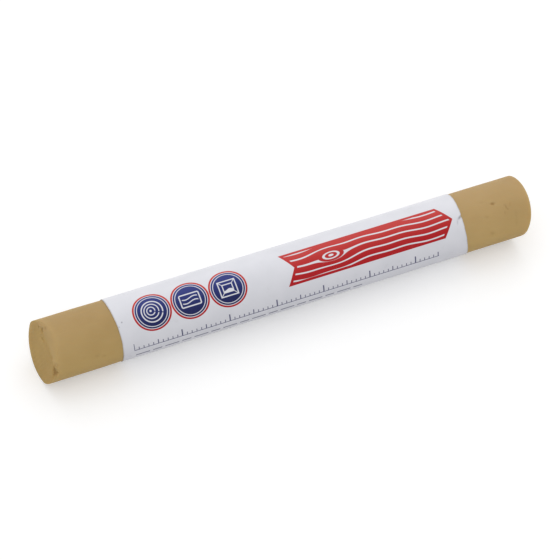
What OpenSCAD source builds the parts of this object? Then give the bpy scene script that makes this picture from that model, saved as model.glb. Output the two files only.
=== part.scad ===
// Wood touch-up stick: a solid stick of coloured wax filler with a printed paper label wrapped round it.
// Millimetres, +Z up. The stick lies along X on the plane Z = 0, with its middle at X = 0.
// The scraped end, with the nicked rim, points to -X and the plain end to +X.

/* [Stick] */
// Diameter of the wax stick
stick_d = 12.7; // [9:0.1:20]
// Length of the wax stick along its axis
stick_len = 102; // [60:0.1:160]

/* [Cut ends] */
// Lean of both end cuts, in degrees: the top of each cut lies nearer to the plain end
cut_slant = 12; // [0:0.5:16]
// Turn of both end cuts seen from above, in degrees
cut_skew = 5; // [0:0.5:8]
// Rounding of the rim at the scraped end
scraped_rim_r = 0.4; // [0.2:0.05:1]
// Rounding of the rim at the plain end
plain_rim_r = 0.45; // [0.2:0.05:1.5]
// Depth of the shallow hollow that cooling leaves in the scraped face
dish_depth = 0.2; // [0.05:0.05:0.6]
// Width of the flat lip between that hollow and the rounded rim
dish_lip = 0.5; // [0.2:0.1:1.5]

/* [Worn flat] */
// How far the flat that rubbing has worn on the scraped end reaches in from the rim, across the face
worn_in = 2.8; // [0.5:0.1:4]
// How far that flat reaches along the side of the stick
worn_along = 1.1; // [0.2:0.1:2]
// Where the flat lies, in degrees round the axis from the top towards the back
worn_turn = -19; // [-60:1:60]

/* [Label] */
// Bare wax between the scraped end and the label, along the axis
scraped_bare = 14.6; // [6:0.1:25]
// Bare wax between the label and the plain end, along the axis
plain_bare = 13.6; // [6:0.1:25]
// Thickness of the label paper
label_t = 0.09; // [0.06:0.01:0.2]
// Thickness of the adhesive coat on the back of the label
glue_t = 0.03; // [0.02:0.01:0.06]
// Width of the strip of bare wax that the label leaves under the stick, where its two edges face each other
gap_w = 2.2; // [0.8:0.1:2.4]

/* [Hidden] */
$fn = 96;

// Colours
wax_colour = [0.68, 0.57, 0.38];
glue_colour = [0.86, 0.84, 0.76];
paper_colour = [0.93, 0.93, 0.95];

// Radii, from the axis outwards
stick_r = stick_d / 2;
ply_t = glue_t + label_t;
label_r = stick_r + ply_t;

// Half the gap between the label's edges, as an angle round the axis
gap_half = gap_w / label_r * 90 / PI;

// The stick rests on those two edges, which keep it from rolling
axis_z = max(stick_r, label_r * cos(gap_half));

// The label along the stick
label_x0 = scraped_bare - stick_len / 2;
label_len = stick_len - scraped_bare - plain_bare;

// The envelope of a cut end: a flat face, a rounded rim and a flare that clears the side of the stick
cut_tilt = acos(cos(cut_slant) * cos(cut_skew));
rim_steps = 8;
flare_angle = cut_tilt + 6;
envelope_reach = 1.2 * stick_len;

// Nicks in the scraped face: [angle round the axis from the top, distance in from the side, radius of the scoop]
face_nicks = [[34, 0.85, 0.5], [17, 1.3, 0.6], [7, 2.7, 0.4], [-80, -0.2, 0.9]];
// Depth of a nick as a share of its scoop's radius
nick_bite = 0.55;

// Carries its children from the X axis to the axis of the stick, at a distance x along it
module on_axis(x = 0) {
    translate([x, 0, axis_z]) children();
}

// A frame on the axis at x, leaning as the end cuts lean
module cut_frame(x) {
    on_axis(x) rotate([0, cut_slant, cut_skew]) children();
}

// Everything inside a cut end whose face lies at x = 0 and whose wax lies towards +X
module end_envelope(rim_r) {
    rim = [for (i = [0 : rim_steps])
        let (turn = i * (90 - flare_angle) / rim_steps)
        [stick_r - rim_r + rim_r * sin(turn), rim_r - rim_r * cos(turn)]];
    rim_end = rim[rim_steps];
    flare_r = rim_end[0] + (envelope_reach - rim_end[1]) * tan(flare_angle);
    rotate([0, 90, 0])
        rotate_extrude()
            polygon(concat([[0, 0]], rim, [[flare_r, envelope_reach], [0, envelope_reach]]));
}

// The hollow in the scraped face, as the ball that it is cut with
module dish() {
    dish_r = stick_r - scraped_rim_r - dish_lip;
    ball_r = (dish_r * dish_r + dish_depth * dish_depth) / (2 * dish_depth);
    translate([dish_depth - ball_r, 0, 0]) sphere(r = ball_r);
}

// The block that cuts the worn flat
module worn_block() {
    block = 2 * stick_d;
    rotate([-worn_turn, 0, 0])
        translate([0, 0, stick_r - worn_in])
            rotate([0, atan2(worn_along, worn_in), 0])
                translate([-block, -block / 2, -block / 2])
                    cube(block);
}

// The scoops that nick the scraped face
module nicks() {
    for (nick = face_nicks)
        rotate([-nick[0], 0, 0])
            translate([nick[2] * (nick_bite - 1), 0, stick_r - nick[1]])
                sphere(r = nick[2]);
}

// The solid wax stick
module filler_stick() {
    color(wax_colour)
        difference() {
            intersection() {
                on_axis() rotate([0, 90, 0]) cylinder(r = stick_r, h = envelope_reach, center = true);
                cut_frame(-stick_len / 2) end_envelope(scraped_rim_r);
                cut_frame(stick_len / 2) rotate([0, 0, 180]) end_envelope(plain_rim_r);
            }
            cut_frame(-stick_len / 2) dish();
            cut_frame(-stick_len / 2) worn_block();
            cut_frame(-stick_len / 2) nicks();
        }
}

// One layer of the label stock, from radius r outwards: a band round the stick that is open at the bottom
module wrapped_layer(r, layer_t) {
    on_axis(label_x0)
        rotate([0, 90, 0])
            rotate([0, 0, gap_half])
                rotate_extrude(angle = 360 - 2 * gap_half)
                    translate([r, 0]) square([layer_t, label_len]);
}

// The adhesive coat on the back of the label
module label_adhesive() {
    color(glue_colour) wrapped_layer(stick_r, glue_t);
}

// The printed paper of the label
module wrap_label() {
    color(paper_colour) wrapped_layer(stick_r + glue_t, label_t);
}

filler_stick();
label_adhesive();
wrap_label();
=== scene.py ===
"""Wood touch-up stick: a cast stick of wax filler, its printed wrap label and a plain studio.

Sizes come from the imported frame. Angles round the stick are counted from its top towards its back.
Print is placed in mm on the flat label: across from its middle, and up from its top line to the back.
"""

import math

import bpy
import numpy as np
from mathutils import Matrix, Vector, noise


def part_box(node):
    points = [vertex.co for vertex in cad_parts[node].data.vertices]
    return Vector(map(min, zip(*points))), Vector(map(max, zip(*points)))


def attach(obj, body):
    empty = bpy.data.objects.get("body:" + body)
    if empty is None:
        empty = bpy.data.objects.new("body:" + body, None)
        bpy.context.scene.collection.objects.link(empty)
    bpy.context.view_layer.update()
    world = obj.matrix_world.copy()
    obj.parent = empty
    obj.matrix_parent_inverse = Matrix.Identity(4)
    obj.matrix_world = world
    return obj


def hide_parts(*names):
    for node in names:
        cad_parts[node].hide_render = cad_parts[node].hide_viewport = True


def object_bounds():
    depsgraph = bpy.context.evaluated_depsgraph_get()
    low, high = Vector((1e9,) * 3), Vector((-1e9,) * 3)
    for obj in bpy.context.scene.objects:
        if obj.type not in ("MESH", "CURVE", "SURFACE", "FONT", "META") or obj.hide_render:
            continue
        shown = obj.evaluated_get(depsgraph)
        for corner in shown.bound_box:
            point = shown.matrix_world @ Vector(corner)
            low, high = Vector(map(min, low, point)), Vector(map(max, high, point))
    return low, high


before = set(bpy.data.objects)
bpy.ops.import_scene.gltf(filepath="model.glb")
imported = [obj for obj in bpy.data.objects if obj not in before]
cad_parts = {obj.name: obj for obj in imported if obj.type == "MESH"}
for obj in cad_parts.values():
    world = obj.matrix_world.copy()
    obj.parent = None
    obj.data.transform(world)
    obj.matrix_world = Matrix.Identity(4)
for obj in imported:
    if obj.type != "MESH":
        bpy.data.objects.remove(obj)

bl_info = {
    "name": "Wood touch-up stick",
    "version": (1, 0, 0),
    "blender": (4, 5, 0),
    "location": "View3D > Sidebar > Touch-up stick",
    "description": "Builds a wax filler stick with a printed wrap label, and a plain studio round it",
    "category": "Add Mesh",
}

MM = 0.001

CAD_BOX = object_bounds()
WAX_LOW, WAX_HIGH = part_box("filler_stick")
GLUE_LOW, GLUE_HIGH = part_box("label_adhesive")
PAPER_LOW, PAPER_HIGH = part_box("wrap_label")
STICK_R = (WAX_HIGH.y - WAX_LOW.y) / 2
GLUE_R = (GLUE_HIGH.y - GLUE_LOW.y) / 2
PAPER_R = (PAPER_HIGH.y - PAPER_LOW.y) / 2
AXIS_Z = WAX_LOW.z + STICK_R
SIDE_MM = STICK_R / MM
LABEL_FROM = PAPER_LOW.x / MM
LABEL_TO = PAPER_HIGH.x / MM
LABEL_MIDDLE = (LABEL_FROM + LABEL_TO) / 2

# Points and rings of the wax mesh
ROUND = 320
FACE_RINGS = 44
RIM_RINGS = 12
SCRAPED_RINGS = 66
PLAIN_RINGS = 62
COVERED_RINGS = 7
# Rings crowd towards the rims, where the marks are, and go on this far under the label, in mm
CROWDING = 1.7
COVERED_RUN = 0.8
# In mm: how far wax under the label stays inside the adhesive, and where its unevenness fades out
COVERED_SINK = 0.004
COVERED_FADE = 0.3

# Shares of the set rounding that the two rims keep
SCRAPED_ROUNDING = 0.3
PLAIN_ROUNDING = 0.6
# Bells round the rims: height, then centre and half width in degrees
SCRAPED_BURRS = ((0.28, 60, 19), (0.13, -147, 11))
SCRAPED_SOFT = ((2.0, -82, 20),)
PLAIN_BURRS = ((0.22, 50, 18), (0.06, -112, 14))
PLAIN_SOFT = ((2.0, -116, 20),)
PLAIN_CRISP = ((0.4, 50, 40), (0.4, -112, 18))
# The hollow of the plain face as a share of the scraped one, and where both end on the way out to the rim
PLAIN_DISH = 0.35
DISH_EDGE = 0.97

# The worn flat spreads further round than a true flat would, up to an angle, and meets the face softly
WORN_SPREAD = 0.9
WORN_LIMIT = 1.4
WORN_FADE = 0.5
WORN_BEND = 0.3

# The bare wax at the scraped end stands proud of the stick's own radius past this run from the label, in mm
SWELL = 0.055
SWELL_RUN = 6.0

# Waves to the mm of the unevenness of the wax, and its heights on the side and on the cut faces, in mm
SLOW, QUICK, FINE = 0.22, 0.8, 2.1
SIDE_UNEVEN = (0.018, 0.007)
FACE_UNEVEN = (0.03, 0.018)
# Ripple that the blade left on the cut faces: height in mm, frequency, way across the face and wander
RIPPLE = 0.012
RIPPLE_WAVES = 7.5
RIPPLE_WAY = (0.9, 0.45)
RIPPLE_WANDER = 2.2

# Nicks in the scraped face: angle in degrees, then distance in from the side, half width and depth in mm
FACE_NICKS = (
    (33, 1.30, 0.36, 0.24),
    (18, 1.36, 0.50, 0.28),
    (9, 0.65, 0.34, 0.11),
    (27, 3.05, 0.34, 0.18),
    (15, 3.30, 0.38, 0.22),
    (5, 3.50, 0.36, 0.15),
    (-56, 1.50, 0.45, 0.06),
    (-70, 0.15, 0.55, 0.13),
    (-80, 0.10, 0.70, 0.21),
    (-88, 0.33, 0.82, 0.29),
    (-89, -0.05, 0.70, 0.12),
    (-97, 0.05, 0.75, 0.12),
)

# Nicks wider than this, in mm, have smoother edges than small ones
RAGGED_WIDTH = 0.3
# Nicks nearer to the side than this, in mm, go in at a slant between the face and the side
RIM_NICK = 0.6
# How far a nick goes in, as a share of its depth
NICK_BITE = 1.6
# Raised lips round nicks and pits: share of the depth, then place and width in half widths of the mark
NICK_LIP = (0.15, 1.5, 0.3)
PIT_LIP = (0.18, 1.9, 0.6)
# Depths in mm at which the painted shade in a nick or a pit is as dark as it gets
DARK_NICK = 0.34
DARK_PIT = 0.16

# Pits and scratches in the side: start and end in mm along and degrees, then half width and depth in mm
SIDE_MARKS = (
    (44.50, -21.2, 44.80, -21.9, 0.25, 0.20),
    (42.35, -12.0, 42.55, -13.0, 0.24, 0.035),
    (42.30, -42.2, 42.60, -42.8, 0.26, 0.045),
    (43.00, -75.6, 43.30, -77.8, 0.34, 0.06),
    (46.95, -29.8, 47.30, -39.4, 0.15, 0.10),
    (48.10, -30.0, 47.95, -35.5, 0.13, 0.05),
    (46.60, -41.8, 46.45, -45.6, 0.14, 0.05),
    (48.78, -47.6, 48.64, -72.5, 0.26, 0.02),
    (-41.60, -75.2, -41.40, -75.6, 0.30, 0.05),
    (-40.32, -79.7, -40.12, -80.1, 0.28, 0.05),
)
# Marks on the far side: how many, then ranges of mm along, degrees round, run, climb, half width and depth
HIDDEN_MARKS = 22
HIDDEN_SEED = 5
HIDDEN_RANGES = ((38.8, 48.0), (58, 226), (-0.6, 0.6), (-6, 6), (0.12, 0.3), (0.03, 0.09))

# Bells of painted shade over the front of the scraped face and low on its rim, and of painted light on the
# lip at its back
FRONT_SHADE = ((0.20, -80, 48),)
LOW_SHADE = ((0.20, -106, 20),)
LIP_LIGHT = ((1.2, 66, 36),)
# Bells of the bloom beside the scraped rim, where it is wider and where it is stronger
WIDE_BLOOM = ((0.4, -24, 24),)
STRONG_BLOOM = ((0.6, -68, 14),)
# Painted shade along the crease of the worn flat, and how far it spreads on the face and on the flat, in mm
CREASE_SHADE = 0.16
CREASE_SPREAD = (1.1, 0.2)

# The way to the softbox, as shares towards the back and up: the wax is painted darker on the side that faces
# it, as painted shade that evens out its lighting
LIT_BACK = 0.616
LIT_UP = 0.788

# Tints of the wax: deep and pale clouds, age towards the scraped end, painted shade on the side that faces
# the softbox, and painted shade in marks and creases
DEEP_TINT = (0.95, 0.94, 0.92)
PALE_TINT = (1.03, 1.035, 1.05)
AGED_TINT = (0.932, 0.929, 0.88)
FACING_LIGHT_SHADE_TINT = (0.81, 0.80, 0.925)
SHADE_TINT = (0.55, 0.48, 0.41)
# Patches to the metre in the wax, in the adhesive and on the floor, and to the mm in the paper
CLOUDS, FLECKS, PORES, STREAKS = 110, 900, 2600, 1500
GLUE_CLOUDS, BUBBLES = 600, 2200
FLOOR_PATCHES = 30
FIBRES, DULL_PATCHES, SMUDGES = 6.0, 0.16, 0.45

# Places on the label, in mm on the flat sheet
BADGE_ROW = (-29.4, -2.94)
BADGE_STEP = 7.9
BADGE_R = 3.4
PENNANT = (-1.75, 34.85, -2.97, 3.42)
KNOT = (8.4, 1.05)
SCALE_ROW = (-34.7, 30.5, -10.05)
DASH_ROWS = ((-34.7, 13.9, -11.85), (-34.7, 23.5, -14.15))
BACK_DASH_ROWS = ((-33.0, 27.8, 9.0), (-33.0, 31.4, 10.3), (-33.0, 15.6, 11.6))
EDGE_NICK = (36.55, -3.02)
# Rings of the log end, from the bark in: how far off the middle, radius and width
LOG_RINGS = ((0.0, 2.10, 0.24), (0.10, 1.45, 0.20), (0.20, 0.80, 0.20))
# Specks on the paper: place and radius
SPECKS = ((-35.24 - LABEL_MIDDLE, -3.28, 0.15), (-36.17 - LABEL_MIDDLE, -4.01, 0.11))
# Height of the scale's base line, and its ticks: step, height and width
BASE_LINE = 0.18
SCALE_TICKS = ((1.0, 0.75, 0.16), (5.0, 1.15, 0.20), (10.0, 1.75, 0.26))
# A long and a short dash: their pitch, then the middle and length of each
DASH_PITCH = 6.1
DASHES = ((1.7, 2.9), (4.75, 1.9))
DASH_HEIGHT = 0.42
BACK_DASH_HEIGHT = 0.28
# Lines between the grain of the panel, and rings of its knot
GRAIN_PITCH = 1.32
KNOT_PITCH = 0.52
# Softness of a printed edge, and width of the line and of the scuffs along the label's ends
INK_EDGE = 0.05
EDGE_LINE = 0.12
EDGE_SCUFF = 0.55

# Tints of dull paper, and of thin ink and the deeper parts of cut wax
DULL_TINT = (0.93, 0.935, 0.94)
DIM_TINT = (0.84, 0.84, 0.84)

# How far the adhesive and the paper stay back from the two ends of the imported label, or reach past them
ADHESIVE_TRIM = 0.2 * MM
PAPER_TRIM = -0.1 * MM
# Points along and round the sheet, and the share of its half length past which its ends bow and waver
SHEET_POINTS = (120, 240)
BOW_FROM = 0.97
WAVER_SEED = 3.0
# Edges that fold by more than this angle stay sharp
SHARP_FOLD = 0.7

# The softbox, in metres, and how far the camera is slid to frame the stick
SOFTBOX_PLACE = (0.12, 0.36, 0.46)
SOFTBOX_SIZE = 0.60
CAMERA_SLIDE = 0.834 * MM
CAMERA_RISE = 0.572 * MM
SENSOR_MM = 36.0
# Tint of the floor's patches, and how white it looks where it is seen: what it throws back and gives off
FLOOR_TINT = (0.98, 0.98, 0.98)
FLOOR_WHITE = (0.78, 0.78, 0.78)
FLOOR_GLOW = (0.34, 0.34, 0.34)


def paint(red, green, blue):
    """A colour given as three numbers from 0 to 255, in Blender's linear light."""
    shares = (red / 255, green / 255, blue / 255)
    return tuple(s / 12.92 if s <= 0.04045 else ((s + 0.055) / 1.055) ** 2.4 for s in shares)


def toned(colour, tint):
    """A colour multiplied by a tint."""
    return tuple(min(1.0, c * t) for c, t in zip(colour, tint))


def number_setting(name, text, number, **limits):
    """A number that a user may change."""
    return bpy.props.FloatProperty(name=name, description=text, default=number, **limits)


def length_setting(name, text, metres):
    """A length that a user may change."""
    return number_setting(name, text, metres, min=0.0, precision=5, unit="LENGTH")


def angle_setting(name, text, degrees):
    """An angle that a user may change."""
    return number_setting(name, text, math.radians(degrees), subtype="ANGLE")


def colour_setting(name, text, colour):
    """A colour that a user may change."""
    return bpy.props.FloatVectorProperty(
        name=name, description=text, default=colour, size=3, min=0.0, max=1.0, subtype="COLOR")


class WaxSettings(bpy.types.PropertyGroup):
    """Sizes and colours of the wax stick."""

    length: length_setting("Length", "Length of the stick along its axis", 0.102)
    slant: angle_setting("Slant", "Lean of both end cuts, with the top nearer to the plain end", 12.0)
    skew: angle_setting("Skew", "Turn of both end cuts seen from above", 5.0)
    scraped_rim: length_setting("Scraped rim", "Rounding of the rim at the scraped end", 0.0004)
    plain_rim: length_setting("Plain rim", "Rounding of the rim at the plain end", 0.00045)
    dish_depth: length_setting("Dish depth", "Depth of the hollow in the scraped face", 0.0002)
    worn_in: length_setting("Worn in", "How far the worn flat reaches in across the face", 0.0028)
    worn_along: length_setting("Worn along", "How far the worn flat reaches along the side", 0.0011)
    worn_turn: angle_setting("Worn turn", "Where the worn flat lies round the axis", -19.0)
    colour: colour_setting("Wax", "Colour of the cast side of the stick", paint(202, 171, 114))
    cut_colour: colour_setting("Cut wax", "Colour of the cut faces", paint(192, 160, 102))
    bloom_colour: colour_setting("Bloom", "Colour of the bloom beside the scraped rim", paint(204, 174, 122))
    gloss: number_setting("Roughness", "Roughness of the wax", 0.62, min=0.0, max=1.0, subtype="FACTOR")


class LabelSettings(bpy.types.PropertyGroup):
    """Sizes and colours of the printed label."""

    gap: length_setting("Gap", "Bare strip under the stick between the label's two edges", 0.0022)
    skew: number_setting(
        "Skew", "How far the label runs along the stick for each radian round it", -0.00011,
        precision=5, unit="LENGTH")
    bow: length_setting("Bow", "How far the label's ends bow in at its front and out at its back", 0.00022)
    bow_turn: angle_setting("Bow turn", "Where the ends bow in most, round the axis", -51.0)
    waver: length_setting("Waver", "How far the label's ends waver", 0.00018)
    nick_depth: length_setting("Nick", "Depth of the small tear in the label's edge", 0.00012)
    nick_width: length_setting("Nick width", "Half width of that tear", 0.00032)
    paper: colour_setting("Paper", "Colour of the unprinted paper", paint(233, 233, 239))
    pennant: colour_setting("Pennant", "Colour along the top of the pointed panel", paint(206, 59, 56))
    pennant_deep: colour_setting("Pennant, low", "Colour along the bottom of that panel", paint(186, 8, 20))
    badge: colour_setting("Badge", "Colour along the top of the three badges", paint(44, 57, 132))
    badge_deep: colour_setting("Badge, low", "Colour along the bottom of those badges", paint(12, 26, 90))
    ink: colour_setting("Ink", "Colour of the scale and the dashes", paint(58, 60, 104))


class StudioSettings(bpy.types.PropertyGroup):
    """Sizes and strengths of the studio."""

    floor: length_setting("Floor", "Width of the floor", 6.0)
    floor_colour: colour_setting("Floor colour", "Colour that lights the stick", paint(206, 206, 208))
    key_power: number_setting("Softbox", "Power of the softbox over the stick", 0.83, min=0.0, unit="POWER")
    sky: number_setting("Fill", "Strength of the even light all round", 0.80, min=0.0)
    turn: angle_setting("Turn", "How far the camera stands round towards the scraped end", 21.781)
    height: angle_setting("Height", "Height of the camera above the horizon", 50.794)
    distance: length_setting("Distance", "Distance from the camera to the middle of the stick", 0.421536)
    lens: number_setting("Lens", "Focal length for a 36 mm picture", 135.0, min=1.0, unit="CAMERA")


def sum_method(operation, reflected=False):
    """A method that adds one Math node, with its terms the other way round where it is reflected."""
    def method(flow, *others):
        terms = (*others, flow) if reflected else (flow, *others)
        return flow.maths(operation, *terms)
    return method


class Flow:
    """An output socket that can stand in Python sums: each sum adds a Math node."""

    __add__ = sum_method("ADD")
    __radd__ = sum_method("ADD", reflected=True)
    __sub__ = sum_method("SUBTRACT")
    __rsub__ = sum_method("SUBTRACT", reflected=True)
    __mul__ = sum_method("MULTIPLY")
    __rmul__ = sum_method("MULTIPLY", reflected=True)
    __truediv__ = sum_method("DIVIDE")
    __rtruediv__ = sum_method("DIVIDE", reflected=True)
    __mod__ = sum_method("FLOORED_MODULO")
    __abs__ = sum_method("ABSOLUTE")
    least = sum_method("MINIMUM")
    most = sum_method("MAXIMUM")
    above = sum_method("GREATER_THAN")
    root = sum_method("SQRT")
    sine = sum_method("SINE")
    cosine = sum_method("COSINE")

    def __init__(self, bench, socket):
        self.bench = bench
        self.socket = socket

    def maths(self, operation, *terms, clamp=False):
        return self.bench.add(
            "ShaderNodeMath", {"operation": operation, "use_clamp": clamp}, dict(enumerate(terms)))

    def falling(self):
        """The bell curve exp(-x * x)."""
        return self.maths("EXPONENT", (self * self) * -1.0)

    def held(self):
        """The value held between 0 and 1."""
        return self.maths("ADD", self, 0.0, clamp=True)


class Bench:
    """Adds nodes to one tree."""

    def __init__(self, tree):
        self.tree = tree

    def add(self, kind, settings=None, sockets=None, out=0):
        """A node of that kind with its settings, and then its sockets by index, identifier or name."""
        node = self.tree.nodes.new(kind)
        for name, value in (settings or {}).items():
            if name == "stops":
                set_stops(node.color_ramp, value)
            else:
                setattr(node, name, value)
        for key, value in (sockets or {}).items():
            self.feed(pick(node.inputs, key), value)
        if not node.outputs:
            return None
        return Flow(self, pick(node.outputs, out))

    def feed(self, socket, value):
        for item in value if isinstance(value, list) else [value]:
            if isinstance(item, Flow):
                self.tree.links.new(item.socket, socket)
            elif socket.type == "RGBA" and len(item) == 3:
                socket.default_value = (*item, 1.0)
            else:
                socket.default_value = item

    def blend(self, share, under, over):
        """The colour under, covered by the colour over where share is 1."""
        return self.add(
            "ShaderNodeMix", {"data_type": "RGBA"},
            {"Factor_Float": share, "A_Color": under, "B_Color": over}, "Result_Color")

    def tinted(self, share, colour, tint):
        """The colour, multiplied by a tint where share is 1."""
        return self.add(
            "ShaderNodeMix", {"data_type": "RGBA", "blend_type": "MULTIPLY"},
            {"Factor_Float": share, "A_Color": colour, "B_Color": tint}, "Result_Color")

    def speckle(self, place, scale, detail=2.0, roughness=0.5):
        """A noise between 0 and 1, at so many patches to the unit that the place is given in."""
        return self.add(
            "ShaderNodeTexNoise", None,
            {"Vector": place, "Scale": scale, "Detail": detail, "Roughness": roughness})

    def split(self, place):
        """The parts of a vector along X, Y and Z."""
        node = self.add("ShaderNodeSeparateXYZ", None, {0: place}).socket.node
        return tuple(Flow(self, socket) for socket in node.outputs)

    def bump(self, height, distance, strength, normal=None):
        sockets = {"Height": height, "Distance": distance, "Strength": strength}
        if normal is not None:
            sockets["Normal"] = normal
        return self.add("ShaderNodeBump", None, sockets)

    def principled(self, sockets):
        """Ends a material in a Principled shader."""
        shader = self.add("ShaderNodeBsdfPrincipled", None, sockets)
        self.add("ShaderNodeOutputMaterial", None, {"Surface": shader})


def pick(sockets, key):
    """A socket by its index, its identifier or its name."""
    if isinstance(key, int):
        return sockets[key]
    for socket in sockets:
        if socket.identifier == key:
            return socket
    return sockets[key]


def set_stops(ramp, stops):
    """Gives a colour ramp its stops: (place, colour) in order."""
    while len(ramp.elements) < len(stops):
        ramp.elements.new(0.5)
    for element, (place, colour) in zip(ramp.elements, stops):
        element.position = place
        element.color = (*colour, 1.0)


def new_finish(name):
    """An empty material and the bench that its nodes are added on."""
    finish = bpy.data.materials.new(name)
    finish.use_nodes = True
    finish.node_tree.nodes.clear()
    return finish, Bench(finish.node_tree)


def show_piece(name, data):
    """Puts a mesh, lamp or camera in the scene, in place of one that an earlier press of the button made."""
    old = bpy.data.objects.get(name)
    if old is not None:
        bpy.data.objects.remove(old, do_unlink=True)
    piece = bpy.data.objects.new(name, data)
    bpy.context.scene.collection.objects.link(piece)
    return piece


# The wax stick


def turned_from(start, angles):
    """Angles from a start, up to half a turn either way."""
    return (angles - start + math.pi) % (2 * math.pi) - math.pi


def falling(values):
    """The bell curve exp(-x * x)."""
    return np.exp(-values ** 2)


def bells(angles, parts):
    """The sum of some bells round the stick: height, then centre and half width in degrees."""
    return sum(
        height * falling(turned_from(math.radians(centre), angles) / math.radians(width))
        for height, centre, width in parts)


def soft_step(low, high, values):
    """0 below low, 1 above high and a smooth rise between."""
    share = np.clip((values - low) / (high - low), 0.0, 1.0)
    return share * share * (3 - 2 * share)


def grain(points, scale, offset=0.0):
    """A smooth noise between -1 and 1 at each point."""
    shift = Vector((offset, offset * 0.7, -offset))
    flat = points.reshape(-1, 3) * scale
    return np.array([noise.noise(Vector(p) + shift) for p in flat]).reshape(points.shape[:-1])


class EndCut:
    """One leaning cut end of the stick, in mm: its face, and the rim or worn flat beside it."""

    def __init__(self, settings, angles, outward):
        self.outward = outward
        self.middle = outward * settings.length / MM / 2
        self.lean = (math.tan(settings.slant) / math.cos(settings.skew) * np.cos(angles)
                     - math.tan(settings.skew) * np.sin(angles))
        self.radius = SIDE_MM
        if outward < 0:
            self.radius += SWELL
            self.drop = np.full(ROUND, SCRAPED_ROUNDING * settings.scraped_rim / MM)
            self.reach = self.drop * (1 + bells(angles, SCRAPED_SOFT))
            self.dish = settings.dish_depth / MM
            self.burr = bells(angles, SCRAPED_BURRS)
            self.wear(settings, angles)
        else:
            self.drop = settings.plain_rim / MM * (PLAIN_ROUNDING - bells(angles, PLAIN_CRISP))
            self.reach = self.drop * (1 + bells(angles, PLAIN_SOFT))
            self.dish = settings.dish_depth / MM * PLAIN_DISH
            self.burr = bells(angles, PLAIN_BURRS)
            self.worn = np.zeros(ROUND)

    def wear(self, settings, angles):
        """Widens the rim to the worn flat."""
        away = turned_from(settings.worn_turn, angles)
        crease = self.radius - settings.worn_in / MM
        toward = np.cos(np.clip(away * WORN_SPREAD, -WORN_LIMIT, WORN_LIMIT))
        depth = np.maximum(0.0, self.radius * toward - crease)
        self.worn = soft_step(0.0, WORN_FADE, depth)
        self.drop = np.maximum(self.drop, self.radius - crease / toward)
        self.reach = np.maximum(self.reach, depth * settings.worn_along / settings.worn_in)

    def rim(self):
        """Where the face would meet the side if the rim were sharp."""
        return self.middle + self.lean * self.radius + self.outward * self.burr

    def side_start(self):
        """Where the straight side begins."""
        return self.rim() - self.outward * self.reach

    def face_ring(self, share):
        """A ring on the face, at a share of the way from its middle to its rim."""
        spread = (self.radius - self.drop) * share
        hollow = self.dish * max(0.0, 1 - (share / DISH_EDGE) ** 4)
        along = self.middle + self.lean * spread + self.outward * (self.burr * share ** 6 - hollow)
        return along, spread

    def rim_ring(self, share):
        """A ring on the rim, at a share of the way from the face to the side."""
        face_x, face_r = self.face_ring(1.0)
        side_x = self.side_start()
        bend_x = self.rim() - self.outward * self.reach * WORN_BEND * self.worn
        a, b, c = (1 - share) ** 2, 2 * share * (1 - share), share ** 2
        return a * face_x + b * bend_x + c * side_x, a * face_r + b * self.radius + c * self.radius


def steps(count):
    """Even shares of a run, from just past its start to its end."""
    return [k / count for k in range(1, count + 1)]


def lay_rings(settings, angles):
    """The scraped end, and four values for every ring of the stick from the scraped face to the plain one.

    They are how far along and how far out it lies, how far it is side and not face, and which end it is at.
    """
    scraped = EndCut(settings, angles, -1)
    plain = EndCut(settings, angles, 1)
    covered_from = LABEL_FROM + COVERED_RUN
    covered_to = LABEL_TO - COVERED_RUN
    rings = [(*scraped.face_ring(share), 0.0, -1) for share in steps(FACE_RINGS)]
    rings += [(*scraped.rim_ring(share), share, -1) for share in steps(RIM_RINGS)]
    start = scraped.side_start()
    for share in steps(SCRAPED_RINGS):
        along = start + (covered_from - start) * share ** CROWDING
        swell = SWELL * (1 - soft_step(LABEL_FROM - SWELL_RUN, LABEL_FROM, along))
        rings.append((along, SIDE_MM + swell, 1.0, -1))
    for share in steps(COVERED_RINGS)[:-1]:
        rings.append((covered_from + (covered_to - covered_from) * share, SIDE_MM, 1.0, 1))
    start = plain.side_start()
    for share in reversed(steps(PLAIN_RINGS)):
        rings.append((start + (covered_to - start) * share ** CROWDING, SIDE_MM, 1.0, 1))
    rings += [(*plain.rim_ring(share), share, 1) for share in reversed(steps(RIM_RINGS))]
    rings += [(*plain.face_ring(share), 0.0, 1) for share in reversed(steps(FACE_RINGS))]
    values = [np.array([np.broadcast_to(value, ROUND) for value in column], float) for column in zip(*rings)]
    return scraped, *values


def hidden_marks():
    """Faint marks scattered over the bare wax on the far side, drawn from a fixed seed."""
    draw = np.random.default_rng(HIDDEN_SEED)
    marks = []
    for _ in range(HIDDEN_MARKS):
        end = draw.choice((-1, 1))
        out, turn, run, climb, half_width, depth = (draw.uniform(*limits) for limits in HIDDEN_RANGES)
        marks.append((out * end, turn, out * end + run, turn + climb, half_width, depth))
    return tuple(marks)


def lip(away, height, place, width):
    """The raised lip round a mark."""
    return height * falling((away - place) / width)


def side_mark(along, angles, mark):
    """How far each point of the side lies from a pit or scratch, in half widths of the mark."""
    x1, turn1, x2, turn2, half_width, _ = mark
    run = x2 - x1
    climb = math.radians(turn2 - turn1) * SIDE_MM
    dx = along - x1
    dy = turned_from(math.radians(turn1), angles) * SIDE_MM
    share = np.clip((dx * run + dy * climb) / (run * run + climb * climb + 1e-9), 0.0, 1.0)
    return np.hypot(dx - share * run, dy - share * climb) / half_width


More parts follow.
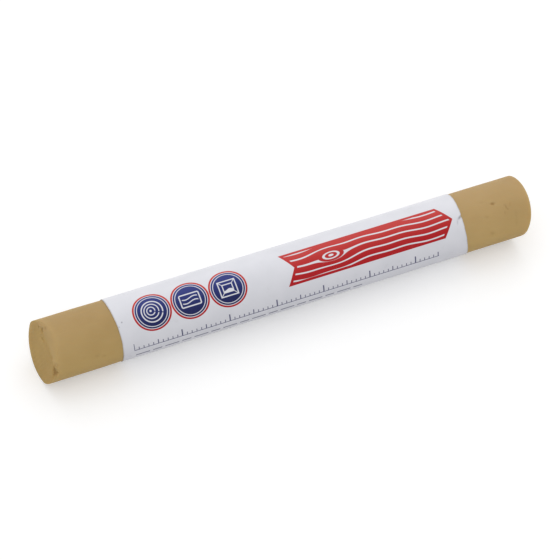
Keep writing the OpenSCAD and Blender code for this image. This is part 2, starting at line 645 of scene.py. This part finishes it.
def knock_nicks(place, out, sideness, angles, rough):
    """How far the nicks in the scraped face move each point, and how dark the painted shade in them is."""
    knocked = np.zeros_like(place)
    dark = np.zeros_like(out)
    for turn, inset, half_width, depth in FACE_NICKS:
        at = int(round(turn / 360 * ROUND)) % ROUND
        ring = np.argmin(np.abs(out[:FACE_RINGS + RIM_RINGS, at] - (SIDE_MM - inset)))
        ragged = np.maximum(0.6, 1 + min(1.0, RAGGED_WIDTH / half_width) * rough)
        away = np.linalg.norm((place - place[ring, at]) / half_width, axis=-1) * ragged
        bite = depth * (NICK_BITE * np.exp(-away ** 4) - lip(away, *NICK_LIP))
        slant = math.pi / 4 if inset < RIM_NICK else 0.5 * math.pi * sideness[ring, at]
        in_y, in_z = -math.sin(angles[at]), -math.cos(angles[at])
        way = (math.cos(slant), math.sin(slant) * in_y, math.sin(slant) * in_z)
        knocked += bite[..., None] * np.array(way)
        # Painted shade in the nick, darker the deeper it is
        dark += np.exp(-(away / 0.9) ** 4) * min(1.0, depth / DARK_NICK)
    return knocked, dark


def shape_wax(settings):
    """Points of the stick in metres, ring by ring, with the finish of each: cut, bloom with painted light on
    a lip, and mark, which is painted shade in nicks, pits and creases.
    """
    angles = np.linspace(0, 2 * math.pi, ROUND, endpoint=False)
    scraped, along, out, sideness, outward = lay_rings(settings, angles)
    turned = np.broadcast_to(angles, along.shape)
    place = np.stack([along, out * np.sin(turned), out * np.cos(turned)], axis=-1)
    bare = 1 - soft_step(LABEL_FROM - COVERED_FADE, LABEL_FROM + COVERED_FADE, along)
    bare += soft_step(LABEL_TO - COVERED_FADE, LABEL_TO + COVERED_FADE, along)
    face = 1 - soft_step(0.0, 0.3, sideness)
    at_scraped = outward < 0

    slow = grain(place, SLOW)
    quick = grain(place, QUICK, 11.0)
    fine = grain(place, FINE, 23.0)
    sink = bare * sideness * (SIDE_UNEVEN[0] * (1 + slow) + SIDE_UNEVEN[1] * (1 + quick))
    sink += (1 - bare) * COVERED_SINK
    across = place[..., 1] * RIPPLE_WAY[0] + place[..., 2] * RIPPLE_WAY[1]
    ripple = RIPPLE * (1 + np.sin(RIPPLE_WAVES * across + RIPPLE_WANDER * quick))
    sink += face * (FACE_UNEVEN[0] * (1 + quick) + FACE_UNEVEN[1] * (1 + fine) + ripple)

    knocked, mark = knock_nicks(place, out, sideness, angles, 0.7 * fine + 0.4 * quick)
    for item in SIDE_MARKS + hidden_marks():
        away = side_mark(along, turned, item)
        depth = item[5]
        sink += sideness * depth * (falling(away) - lip(away, *PIT_LIP))
        # Painted shade in pits and scratches, darker the deeper they are
        mark += sideness * falling(away) * min(1.0, depth / DARK_PIT)
    from_crease = out - (scraped.radius - scraped.drop)
    spread = np.where(from_crease < 0, *CREASE_SPREAD)
    # Painted shade along the crease of the worn flat, over the front of the scraped face and low on its rim
    mark += CREASE_SHADE * at_scraped * scraped.worn * falling(from_crease / spread)
    mark += at_scraped * face * bells(turned, FRONT_SHADE) * soft_step(0.8, 3.0, out)
    mark += at_scraped * (1 - sideness) * bells(turned, LOW_SHADE) * soft_step(4.0, 5.5, out)

    tilt = 0.5 * math.pi * sideness
    place[..., 0] -= sink * np.cos(tilt) * outward
    place[..., 1] -= sink * np.sin(tilt) * np.sin(turned)
    place[..., 2] -= sink * np.sin(tilt) * np.cos(turned)
    place += knocked

    from_rim = along - scraped.rim()
    width = 1.0 + 0.3 * slow + bells(turned, WIDE_BLOOM)
    rubbed = scraped.worn * (1 - soft_step(0.6, 1.0, sideness))
    pale = falling((from_rim - 0.4) / width) * (1 + bells(turned, STRONG_BLOOM)) + 0.8 * rubbed
    bloom = 0.5 * at_scraped * soft_step(0.0, 0.25, sideness) * (1 - face) * pale
    # Painted light on the lip at the back of the scraped face, carried with the bloom
    bloom += at_scraped * bells(turned, LIP_LIGHT) * falling(from_crease / 0.9)
    place[..., 2] += AXIS_Z / MM
    return place * MM, face, np.clip(bloom, 0, 1), np.clip(mark, 0, 1)


def wax_mesh(settings):
    """The closed mesh of the stick, with its finish kept on its points."""
    place, cut, bloom, mark = shape_wax(settings)
    rings = len(place)
    points = list(map(tuple, place.reshape(-1, 3)))
    ends = [tuple(place[0].mean(axis=0)), tuple(place[-1].mean(axis=0))]
    scraped_end = len(points)
    plain_end = scraped_end + 1
    faces = []
    for j in range(ROUND):
        k = (j + 1) % ROUND
        faces.append((scraped_end, j, k))
        for i in range(rings - 1):
            faces.append((i * ROUND + j, (i + 1) * ROUND + j, (i + 1) * ROUND + k, i * ROUND + k))
        last = (rings - 1) * ROUND
        faces.append((last + j, plain_end, last + k))
    mesh = bpy.data.meshes.new("wax_stick")
    mesh.from_pydata(points + ends, [], faces)
    mesh.validate()
    mesh.shade_smooth()
    for name, values, at_ends in (("cut", cut, 1.0), ("bloom", bloom, 0.0), ("mark", mark, 0.0)):
        kept = mesh.attributes.new(name, "FLOAT", "POINT")
        kept.data.foreach_set("value", np.append(values.ravel(), (at_ends, at_ends)).astype(np.float32))
    return mesh


def wax_finish(settings):
    """Tan filler wax: mottled, satin, a little see-through, with bloom and deeper cut faces, painted light on
    a lip, and painted shade in its marks and creases and on the side that faces the softbox.
    """
    finish, bench = new_finish("tan_filler_wax")
    place = bench.add("ShaderNodeTexCoord", out="Object")
    cut, bloom, mark = (
        bench.add("ShaderNodeAttribute", {"attribute_name": name}, out="Fac")
        for name in ("cut", "bloom", "mark"))
    cloud = bench.speckle(place, CLOUDS, 3.0, 0.55)
    fleck = bench.speckle(place, FLECKS, 2.0, 0.6)
    pore = bench.speckle(place, PORES, 1.0)
    streaked = bench.add("ShaderNodeMapping", None, {"Vector": place, "Scale": (0.12, 1.0, 1.0)})
    streak = bench.speckle(streaked, STREAKS)
    along, back, height = bench.split(place)
    # How far each point faces the softbox, which sets the painted shade below
    lit = (((back * LIT_BACK + (height - AXIS_Z) * LIT_UP) / STICK_R + 0.6) / 1.6).held()

    wax = tuple(settings.colour)
    deep = toned(wax, DEEP_TINT)
    pale = toned(wax, PALE_TINT)
    colour = bench.add(
        "ShaderNodeValToRGB", {"stops": ((0.30, deep), (0.5, wax), (0.72, pale))}, {"Fac": cloud})
    colour = bench.blend(((fleck - 0.52) * 2.4).held() * 0.35, colour, pale)
    aged = (0.5 - along / (WAX_HIGH.x - WAX_LOW.x)).held()
    colour = bench.tinted(aged, colour, AGED_TINT)
    # Painted shade: the wax is darker on the side that faces the softbox, which evens out its lighting
    colour = bench.tinted(lit, colour, FACING_LIGHT_SHADE_TINT)
    colour = bench.blend(((0.42 - streak) * 3.0).held() * 0.22, colour, deep)
    cut_wax = tuple(settings.cut_colour)
    cut_tone = bench.blend(((0.6 - cloud) * 2.5).held(), cut_wax, toned(cut_wax, DIM_TINT))
    colour = bench.blend(cut, colour, cut_tone)
    # The bloom colour is also laid as painted light on the lip of the scraped face
    colour = bench.blend(bloom * (0.20 + 0.4 * fleck), colour, tuple(settings.bloom_colour))
    # Painted shade in nicks, pits, scratches and creases and over the front and low part of the scraped face
    colour = bench.blend((mark * 0.62).held(), colour, toned(wax, SHADE_TINT))

    roughness = settings.gloss + (fleck - 0.5) * 0.22 + cut * 0.12 + bloom * 0.10 + mark * 0.1
    normal = bench.bump(streak * 0.4 + fleck * 0.6, 0.06 * MM, 0.5)
    normal = bench.bump(pore, 0.02 * MM, 0.5, normal)
    bench.principled({
        "Base Color": colour,
        "Roughness": roughness.held(),
        "Normal": normal,
        "IOR": 1.44,
        "Specular IOR Level": 0.12,
        "Subsurface Weight": 0.2,
        "Subsurface Radius": (1.0, 0.7, 0.4),
        "Subsurface Scale": 0.003,
    })
    return finish


class TOUCHUP_OT_pour_wax(bpy.types.Operator):
    """Pour the wax stick and cut its two ends"""

    bl_idname = "touch_up.pour_wax"
    bl_label = "Wax stick"

    def execute(self, context):
        settings = context.scene.touch_up_wax
        mesh = wax_mesh(settings)
        mesh.materials.append(wax_finish(settings))
        stick = show_piece("wax_stick", mesh)
        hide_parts("filler_stick")
        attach(stick, "root")
        return {"FINISHED"}


# The label and its adhesive


def wrapping_tree():
    """A tree that lays out a flat sheet, nicks its edge, gives it a thickness and wraps it round."""
    tree = bpy.data.node_groups.new("Wrap a printed sheet", "GeometryNodeTree")
    bench = Bench(tree)
    kinds = dict.fromkeys((
        "Length", "Middle", "Inner Radius", "Thickness", "Gap", "Axis Height", "Skew",
        "Nick Depth", "Nick Width", "Nick Place", "Bow", "Bow Turn", "Waver", "Seed"), "NodeSocketFloat")
    kinds.update(dict.fromkeys(("Points Along", "Points Around"), "NodeSocketInt"))
    kinds["Paper"] = "NodeSocketMaterial"
    sockets = {}
    for name, kind in kinds.items():
        sockets[name] = tree.interface.new_socket(name=name, in_out="INPUT", socket_type=kind).identifier
    tree.interface.new_socket(name="Sheet", in_out="OUTPUT", socket_type="NodeSocketGeometry")

    def given(name):
        return bench.add("NodeGroupInput", out=name)

    def here():
        return bench.split(bench.add("GeometryNodeInputPosition"))

    def moved(sheet, x, y, z):
        place = bench.add("ShaderNodeCombineXYZ", None, {0: x, 1: y, 2: z})
        return bench.add("GeometryNodeSetPosition", None, {"Geometry": sheet, "Position": place})

    radius = given("Inner Radius") + given("Thickness")
    across = radius * (2 * math.pi) - given("Gap")
    sheet = bench.add("GeometryNodeMeshGrid", None, {
        "Size X": 2.0,
        "Size Y": 2.0,
        "Vertices X": given("Points Along"),
        "Vertices Y": given("Points Around"),
    }, "Mesh")
    t, s, _ = here()
    u = given("Length") * 0.5 * (0.4 * t + 0.6 * (t * (math.pi / 2)).sine())
    sheet = moved(sheet, u, across * 0.5 * s, 0.0)
    flat = bench.add("GeometryNodeInputPosition")
    printed = bench.add("ShaderNodeVectorMath", {"operation": "SCALE"}, {0: flat, "Scale": 1 / MM})
    sheet = bench.add(
        "GeometryNodeStoreNamedAttribute", {"data_type": "FLOAT_VECTOR", "domain": "POINT"},
        {"Geometry": sheet, "Name": "sheet_mm", "Value": printed})

    x, y, _ = here()
    edge = ((abs(x) * 2 / given("Length") - BOW_FROM) / (1 - BOW_FROM)).held()
    right = x.above(0.0)
    nick = given("Nick Depth") * ((y - given("Nick Place")) / given("Nick Width")).falling() * edge * right
    wander = bench.add(
        "ShaderNodeTexNoise", {"noise_dimensions": "1D"},
        {"W": y * 380 + right * 17 + given("Seed"), "Scale": 1.0, "Detail": 2.0})
    bow = given("Bow") * ((y / radius - given("Bow Turn")) * 2).cosine() * edge * (1 - right * 2)
    sheet = moved(sheet, x - nick + bow + (wander - 0.5) * given("Waver") * edge, y, 0.0)

    up = bench.add("ShaderNodeCombineXYZ", None, {2: 1.0})
    raised = bench.add("GeometryNodeExtrudeMesh", {"mode": "FACES"}, {
        "Mesh": sheet, "Offset": up, "Offset Scale": given("Thickness"), "Individual": False}, "Mesh")
    back = bench.add("GeometryNodeFlipFaces", None, {0: sheet})
    closed = bench.add("GeometryNodeJoinGeometry", None, {0: [raised, back]})
    closed = bench.add("GeometryNodeMergeByDistance", None, {"Geometry": closed, "Distance": 1e-6})

    x, y, z = here()
    turn = y / radius
    out = given("Inner Radius") + z
    wrapped = moved(
        closed, given("Middle") + x + given("Skew") * turn, out * turn.sine(),
        given("Axis Height") + out * turn.cosine())
    fold = bench.add("GeometryNodeInputMeshEdgeAngle", out="Unsigned Angle")
    wrapped = bench.add("GeometryNodeSetShadeSmooth", None, {"Geometry": wrapped, "Shade Smooth": True})
    wrapped = bench.add(
        "GeometryNodeStoreNamedAttribute", {"data_type": "BOOLEAN", "domain": "EDGE"},
        {"Geometry": wrapped, "Name": "sharp_edge", "Value": fold.above(SHARP_FOLD)})
    wrapped = bench.add("GeometryNodeRealizeInstances", None, {"Geometry": wrapped})
    wrapped = bench.add("GeometryNodeSetMaterial", None, {"Geometry": wrapped, "Material": given("Paper")})
    bench.add("NodeGroupOutput", None, {"Sheet": wrapped})
    return tree, sockets


def baked_mesh(tree, sockets, values, name):
    """The plain mesh that a tree gives for these inputs."""
    holder = show_piece(name, bpy.data.meshes.new(name))
    modifier = holder.modifiers.new(tree.name, "NODES")
    modifier.node_group = tree
    for key, value in values.items():
        modifier[sockets[key]] = value
    ready = holder.evaluated_get(bpy.context.evaluated_depsgraph_get())
    mesh = bpy.data.meshes.new_from_object(ready)
    holder.modifiers.remove(modifier)
    bpy.data.objects.remove(holder, do_unlink=True)
    if not mesh.polygons:
        raise RuntimeError(f"{name} came out empty")
    mesh.name = name
    return mesh


def adhesive_finish():
    """Dried adhesive: cloudy and cream, with fine bubbles and a soft shine."""
    finish, bench = new_finish("label_adhesive_coat")
    place = bench.add("ShaderNodeTexCoord", out="Object")
    cloud = bench.speckle(place, GLUE_CLOUDS, 3.0)
    bubble = bench.add(
        "ShaderNodeTexVoronoi", {"feature": "F1"}, {"Vector": place, "Scale": BUBBLES}, "Distance")
    colour = bench.add(
        "ShaderNodeValToRGB",
        {"stops": ((0.3, paint(205, 196, 168)), (0.7, paint(232, 226, 206)))}, {"Fac": cloud})
    bench.principled({
        "Base Color": colour,
        "Roughness": (0.3 + cloud * 0.25).held(),
        "Normal": bench.bump(bubble, 0.02 * MM, 0.6),
    })
    return finish


class Press:
    """Prints shapes on the flat sheet: every shape is a distance in mm, below 0 inside it."""

    def __init__(self, bench):
        self.bench = bench
        sheet = bench.add("ShaderNodeAttribute", {"attribute_name": "sheet_mm"}, out="Vector")
        self.u, self.v, _ = bench.split(sheet)
        self.sheet = sheet

    def cover(self, distance, edge=INK_EDGE):
        """1 where the ink lies and 0 beside it."""
        return (0.5 - distance / edge).held()

    def disc(self, u, v, radius):
        return (u * u + v * v).root() - radius

    def panel(self, u, v, half_width, half_height, corner=0.0):
        du = abs(u) - (half_width - corner)
        dv = abs(v) - (half_height - corner)
        if not corner:
            return du.most(dv)
        du_out = du.most(0.0)
        dv_out = dv.most(0.0)
        return (du_out * du_out + dv_out * dv_out).root() + du.most(dv).least(0.0) - corner

    def outline(self, distance, width):
        return abs(distance) - width / 2

    def stripes(self, place, pitch, width):
        """Stripes in the middle of each pitch."""
        return self.outline(place % pitch - pitch / 2, width)

    def run(self, start, end):
        """The stretch of the sheet between two places along it."""
        return (start - self.u).most(self.u - end)

    def graded_ink(self, low, high, fibre):
        """An ink that runs from its low colour to its high one, lighter towards the top of the panels, uneven
        on the fibres.
        """
        _, _, row, half = PENNANT
        share = ((self.v - row) / (1.2 * half) + 0.5).held()
        even = self.bench.blend(share, tuple(low), tuple(high))
        thin = self.bench.blend(share, toned(low, DIM_TINT), toned(high, DIM_TINT))
        return self.bench.blend(fibre, thin, even)

    def badges(self):
        """Three round badges, and the pictures in them: a log end, a board and a picture frame."""
        first, row = BADGE_ROW
        v = self.v - row
        local = (self.u - (first - BADGE_STEP / 2)) % BADGE_STEP - BADGE_STEP / 2
        band = abs(self.u - (first + BADGE_STEP)) - 1.5 * BADGE_STEP
        disc = self.disc(local, v, BADGE_R)
        hoop = self.outline(disc + 0.40, 0.15)
        rim = self.outline(disc - 0.32, 0.36).most(band)

        u = self.u - first
        log = self.disc(u + 0.25, v - 0.15, 0.22)
        for shift, radius, width in LOG_RINGS:
            log = log.least(self.outline(self.disc(u + shift, v - 0.6 * shift, radius), width))
        split = self.panel(u - 1.3, v + 0.45 + 0.4 * (u - 1.3), 1.0, 0.13)
        log = log.most(split * -1.0)

        u = self.u - (first + BADGE_STEP)
        board = self.outline(self.panel(u, v, 2.0, 1.25, 0.25), 0.24)
        wave = 0.22 * (u * 1.7).sine()
        lines = (abs(v - 0.40 - wave) - 0.10).least(abs(v + 0.40 - wave) - 0.10)
        board = board.least(lines.most(abs(u) - 1.6))

        u = self.u - (first + 2 * BADGE_STEP)
        outer = self.panel(u, v, 1.75, 1.55)
        inner = self.panel(u, v, 1.00, 0.80)
        mitre = (abs(abs(u) - abs(v) - 0.2) - 0.09).most(outer).most(inner * -1.0)
        picture = self.outline(outer, 0.22).least(self.outline(inner, 0.20)).least(mitre)
        hill = (v + 0.52 - 0.40 * ((u - 0.25) * 1.3).falling()).most(inner)
        picture = picture.least(hill)
        pictures = hoop.most(band).least(log).least(board).least(picture)
        return disc.most(band), rim, pictures

    def pennant(self):
        """A pointed panel with a notched tail, and wood grain that flows round a knot in it."""
        start, end, row, half = PENNANT
        v = self.v - row
        point = self.u - end + abs(v) * 0.75
        tail = start + (1 - abs(v) / half) * 2.2 - self.u
        shape = (abs(v) - half).most(point * 0.8).most(tail * 0.83)
        knot_u, eye = KNOT
        du = (self.u - knot_u) * 0.42
        w = v - 0.25
        spread = du * du + w * w + 0.02
        ripple = 0.28 * (self.u * 0.23 + 0.6).sine() + 0.10 * (self.u * 0.71).sine()
        stream = w * (1 - (eye * eye) / spread) + ripple
        lines = self.stripes(stream + GRAIN_PITCH * 20.5, GRAIN_PITCH, 0.28)
        inside_eye = spread.root() - eye
        rings = self.stripes(spread.root() + 0.1, KNOT_PITCH, 0.22)
        lines = lines.most(inside_eye * -1.0 + 0.12).least(rings.most(inside_eye))
        margin = shape + 0.55
        return shape, lines.most(margin)

    def scale(self):
        """A ruled scale with a tick at every millimetre and longer ones at every fifth and tenth."""
        start, end, row = SCALE_ROW
        v = self.v - row
        drawn = self.outline(v, BASE_LINE)
        for step, height, width in SCALE_TICKS:
            tick = self.stripes(self.u - start + step / 2, step, width)
            drawn = drawn.least(tick.most(self.outline(v - height / 2, height)))
        return drawn.most(self.run(start, end))

    def dashes(self, rows, height):
        """Rows of plain dashes of two lengths."""
        drawn = None
        for start, end, row in rows:
            u = (self.u - start) % DASH_PITCH
            long_dash, short_dash = (self.outline(u - middle, length) for middle, length in DASHES)
            dash = long_dash.least(short_dash).most(self.run(start, end))
            dash = dash.most(self.outline(self.v - row, height))
            drawn = dash if drawn is None else drawn.least(dash)
        return drawn


def paper_finish(settings):
    """Coated label paper, printed: white with a clear gloss, handling marks, and a crease at its nick with
    painted shade along it.
    """
    finish, bench = new_finish("printed_label_paper")
    press = Press(bench)
    sheet = press.sheet
    fibre = bench.speckle(sheet, FIBRES)
    cloud = bench.speckle(sheet, DULL_PATCHES)
    smudge = bench.speckle(sheet, SMUDGES, 4.0, 0.62)

    paper = tuple(settings.paper)
    colour = bench.blend(((cloud - 0.35) * 2.2).held(), toned(paper, DULL_TINT), paper)

    pennant, grain_lines = press.pennant()
    red_ink = press.graded_ink(settings.pennant_deep, settings.pennant, fibre)
    colour = bench.blend(press.cover(pennant) * (1 - press.cover(grain_lines)), colour, red_ink)

    badges, badge_rims, pictures = press.badges()
    blue_ink = press.graded_ink(settings.badge_deep, settings.badge, fibre)
    colour = bench.blend(press.cover(badge_rims), colour, red_ink)
    colour = bench.blend(press.cover(badges) * (1 - press.cover(pictures)), colour, blue_ink)

    ink = tuple(settings.ink)
    colour = bench.blend(press.cover(press.scale()) * 0.95, colour, ink)
    colour = bench.blend(press.cover(press.dashes(DASH_ROWS, DASH_HEIGHT)) * 0.8, colour, ink)
    colour = bench.blend(press.cover(press.dashes(BACK_DASH_ROWS, BACK_DASH_HEIGHT)) * 0.75, colour, ink)

    nick_u, nick_v = EDGE_NICK
    along = press.u - nick_u
    up = press.v - nick_v
    # The crease and fold by the nick are bumped, and painted shade lies along them as a grey line
    crease = ((up - 0.44 * along + 0.10) / 0.26).falling() * (along / 0.62).falling()
    fold_up = up + 0.9
    fold = ((along + 0.92 - 0.25 * fold_up) / 0.15).falling() * (fold_up / 0.5).falling()
    worn = crease.most(fold * 0.4)
    colour = bench.blend((worn * 0.7).held(), colour, paint(112, 112, 124))
    for u, v, size in SPECKS:
        speck = press.cover(press.disc(press.u - u, press.v - v, size), 0.16)
        colour = bench.blend(speck * 0.55, colour, paint(120, 120, 132))
    handled = ((smudge - 0.60) * 5.0).held()
    colour = bench.blend(handled * 0.10, colour, paint(150, 146, 140))
    to_edge = LABEL_TO - LABEL_MIDDLE - abs(press.u)
    scuffed = (1 - to_edge / EDGE_SCUFF).held() * ((fibre - 0.45) * 4.0).held()
    colour = bench.blend(scuffed * 0.18, colour, paint(190, 188, 184))
    colour = bench.blend((1 - to_edge / EDGE_LINE).held() * 0.35, colour, paint(150, 140, 124))

    roughness = 0.36 + (fibre - 0.5) * 0.10 + handled * 0.14 + worn * 0.15
    normal = bench.bump(fibre, 0.012 * MM, 0.5)
    normal = bench.bump(cloud + worn * 0.35, 0.18 * MM, 0.5, normal)
    bench.principled({
        "Base Color": colour,
        "Roughness": roughness.held(),
        "Normal": normal,
        "Specular IOR Level": 0.2,
        "Coat Weight": 0.08,
        "Coat Roughness": 0.22,
    })
    return finish


def wrapped_sheet(name, settings, radii, trim, nick_depth, finish):
    """One layer of the label between two radii, with its two ends trimmed back by a little."""
    tree, sockets = wrapping_tree()
    inner, outer = radii
    mesh = baked_mesh(tree, sockets, {
        "Length": PAPER_HIGH.x - PAPER_LOW.x - 2 * trim,
        "Middle": (PAPER_HIGH.x + PAPER_LOW.x) / 2,
        "Inner Radius": inner,
        "Thickness": outer - inner,
        "Gap": settings.gap,
        "Axis Height": AXIS_Z,
        "Skew": settings.skew,
        "Nick Depth": nick_depth,
        "Nick Width": settings.nick_width,
        "Nick Place": EDGE_NICK[1] * MM,
        "Bow": settings.bow,
        "Bow Turn": settings.bow_turn,
        "Waver": settings.waver,
        "Seed": WAVER_SEED,
        "Points Along": SHEET_POINTS[0],
        "Points Around": SHEET_POINTS[1],
        "Paper": finish,
    }, name)
    return show_piece(name, mesh)


class TOUCHUP_OT_coat_adhesive(bpy.types.Operator):
    """Spread the coat of adhesive behind the label"""

    bl_idname = "touch_up.coat_adhesive"
    bl_label = "Adhesive coat"

    def execute(self, context):
        settings = context.scene.touch_up_label
        finish = adhesive_finish()
        coat = wrapped_sheet("adhesive_coat", settings, (STICK_R, GLUE_R), ADHESIVE_TRIM, 0.0, finish)
        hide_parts("label_adhesive")
        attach(coat, "root")
        return {"FINISHED"}


class TOUCHUP_OT_wrap_label(bpy.types.Operator):
    """Print the label and wrap it round the stick"""

    bl_idname = "touch_up.wrap_label"
    bl_label = "Printed label"

    def execute(self, context):
        settings = context.scene.touch_up_label
        finish = paper_finish(settings)
        tear = settings.nick_depth
        label = wrapped_sheet("printed_label", settings, (GLUE_R, PAPER_R), PAPER_TRIM, tear, finish)
        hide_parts("wrap_label")
        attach(label, "root")
        return {"FINISHED"}


# The studio


def seen_share(bench):
    """1 for the rays that show a surface, straight from the camera or by way of gloss or glass."""
    path = bench.add("ShaderNodeLightPath").socket.node
    camera, glossy, through = (
        Flow(bench, path.outputs[name]) for name in ("Is Camera Ray", "Is Glossy Ray", "Is Transmission Ray"))
    return camera.most(glossy).most(through)


def floor_finish(settings):
    """A pale floor that shows white with the stick's shadow on it, and throws back a softer light."""
    finish, bench = new_finish("studio_floor")
    place = bench.add("ShaderNodeTexCoord", out="Object")
    mottle = bench.speckle(place, FLOOR_PATCHES)
    seen = seen_share(bench)
    pale = tuple(settings.floor_colour)
    tone = bench.blend(mottle, pale, toned(pale, FLOOR_TINT))
    colour = bench.blend(seen, tone, FLOOR_WHITE)
    matte = bench.add("ShaderNodeBsdfDiffuse", None, {"Color": colour})
    glow = bench.blend(seen, (0.0, 0.0, 0.0), FLOOR_GLOW)
    lift = bench.add("ShaderNodeEmission", None, {"Color": glow})
    both = bench.add("ShaderNodeAddShader", None, {0: matte, 1: lift})
    bench.add("ShaderNodeOutputMaterial", None, {"Surface": both})
    return finish


def light_world(settings):
    """Even light all round, behind a white backdrop."""
    world = bpy.data.worlds.new("studio_light")
    world.use_nodes = True
    world.node_tree.nodes.clear()
    bench = Bench(world.node_tree)
    seen = seen_share(bench)
    lit = bench.add("ShaderNodeBackground", None, {"Color": (1.0, 1.0, 1.0), "Strength": settings.sky})
    shown = bench.add("ShaderNodeBackground", None, {"Color": (1.0, 1.0, 1.0), "Strength": 1.0})
    mixed = bench.add("ShaderNodeMixShader", None, {0: seen, 1: lit, 2: shown})
    bench.add("ShaderNodeOutputWorld", None, {"Surface": mixed})
    return world


def hang_softbox(name, place, target, size, power):
    """A square softbox that looks at a point."""
    light = bpy.data.lights.new(name, "AREA")
    light.shape = "SQUARE"
    light.size = size
    light.energy = power
    lamp = show_piece(name, light)
    lamp.location = place
    lamp.rotation_euler = (Vector(target) - Vector(place)).to_track_quat("-Z", "Y").to_euler()


def stand_camera(settings):
    """The camera, aimed so that the stick lies in the picture as it does in the photograph."""
    back = Vector((
        -math.sin(settings.turn) * math.cos(settings.height),
        -math.cos(settings.turn) * math.cos(settings.height),
        math.sin(settings.height)))
    right = Vector((math.cos(settings.turn), -math.sin(settings.turn), 0.0))
    up = back.cross(right)
    data = bpy.data.cameras.new("studio_camera")
    data.sensor_width = SENSOR_MM
    data.lens = settings.lens
    data.clip_start = 0.01
    data.clip_end = 50.0
    camera = show_piece("studio_camera", data)
    middle = Vector((0.0, 0.0, AXIS_Z))
    camera.location = middle + back * settings.distance - right * CAMERA_SLIDE - up * CAMERA_RISE
    camera.rotation_euler = (-back).to_track_quat("-Z", "Y").to_euler()
    bpy.context.scene.camera = camera


class TOUCHUP_OT_set_stage(bpy.types.Operator):
    """Lay the floor, hang the light and stand the camera"""

    bl_idname = "touch_up.set_stage"
    bl_label = "Studio"

    def execute(self, context):
        settings = context.scene.touch_up_studio
        half = settings.floor / 2
        mesh = bpy.data.meshes.new("studio_floor")
        level = CAD_BOX[0].z
        corners = [(-half, -half, level), (half, -half, level), (half, half, level), (-half, half, level)]
        mesh.from_pydata(corners, [], [(0, 1, 2, 3)])
        mesh.materials.append(floor_finish(settings))
        show_piece("studio_floor", mesh)
        hang_softbox("softbox", SOFTBOX_PLACE, (0.0, 0.0, AXIS_Z), SOFTBOX_SIZE, settings.key_power)
        context.scene.world = light_world(settings)
        stand_camera(settings)
        context.scene.view_settings.view_transform = "Standard"
        return {"FINISHED"}


class TOUCHUP_PT_sidebar(bpy.types.Panel):
    """The buttons that build the stick, and the values that they use"""

    bl_idname = "TOUCHUP_PT_sidebar"
    bl_label = "Touch-up stick"
    bl_space_type = "VIEW_3D"
    bl_region_type = "UI"
    bl_category = "Touch-up stick"

    def draw(self, context):
        for operator, group in STEPS:
            box = self.layout.box()
            box.operator(operator.bl_idname)
            if group is not None:
                settings = getattr(context.scene, group)
                for name in settings.bl_rna.properties.keys():
                    if name not in ("rna_type", "name"):
                        box.prop(settings, name)


STEPS = (
    (TOUCHUP_OT_pour_wax, "touch_up_wax"),
    (TOUCHUP_OT_coat_adhesive, None),
    (TOUCHUP_OT_wrap_label, "touch_up_label"),
    (TOUCHUP_OT_set_stage, "touch_up_studio"),
)
GROUPS = {"touch_up_wax": WaxSettings, "touch_up_label": LabelSettings, "touch_up_studio": StudioSettings}
CLASSES = (*GROUPS.values(), *(operator for operator, _ in STEPS), TOUCHUP_PT_sidebar)


def register():
    for item in CLASSES:
        bpy.utils.register_class(item)
    for name, group in GROUPS.items():
        setattr(bpy.types.Scene, name, bpy.props.PointerProperty(type=group))


def unregister():
    for name in GROUPS:
        delattr(bpy.types.Scene, name)
    for item in reversed(CLASSES):
        bpy.utils.unregister_class(item)


def main():
    register()
    bpy.ops.touch_up.pour_wax()
    bpy.ops.touch_up.coat_adhesive()
    bpy.ops.touch_up.wrap_label()
    bpy.ops.touch_up.set_stage()


if __name__ == "__main__":
    main()
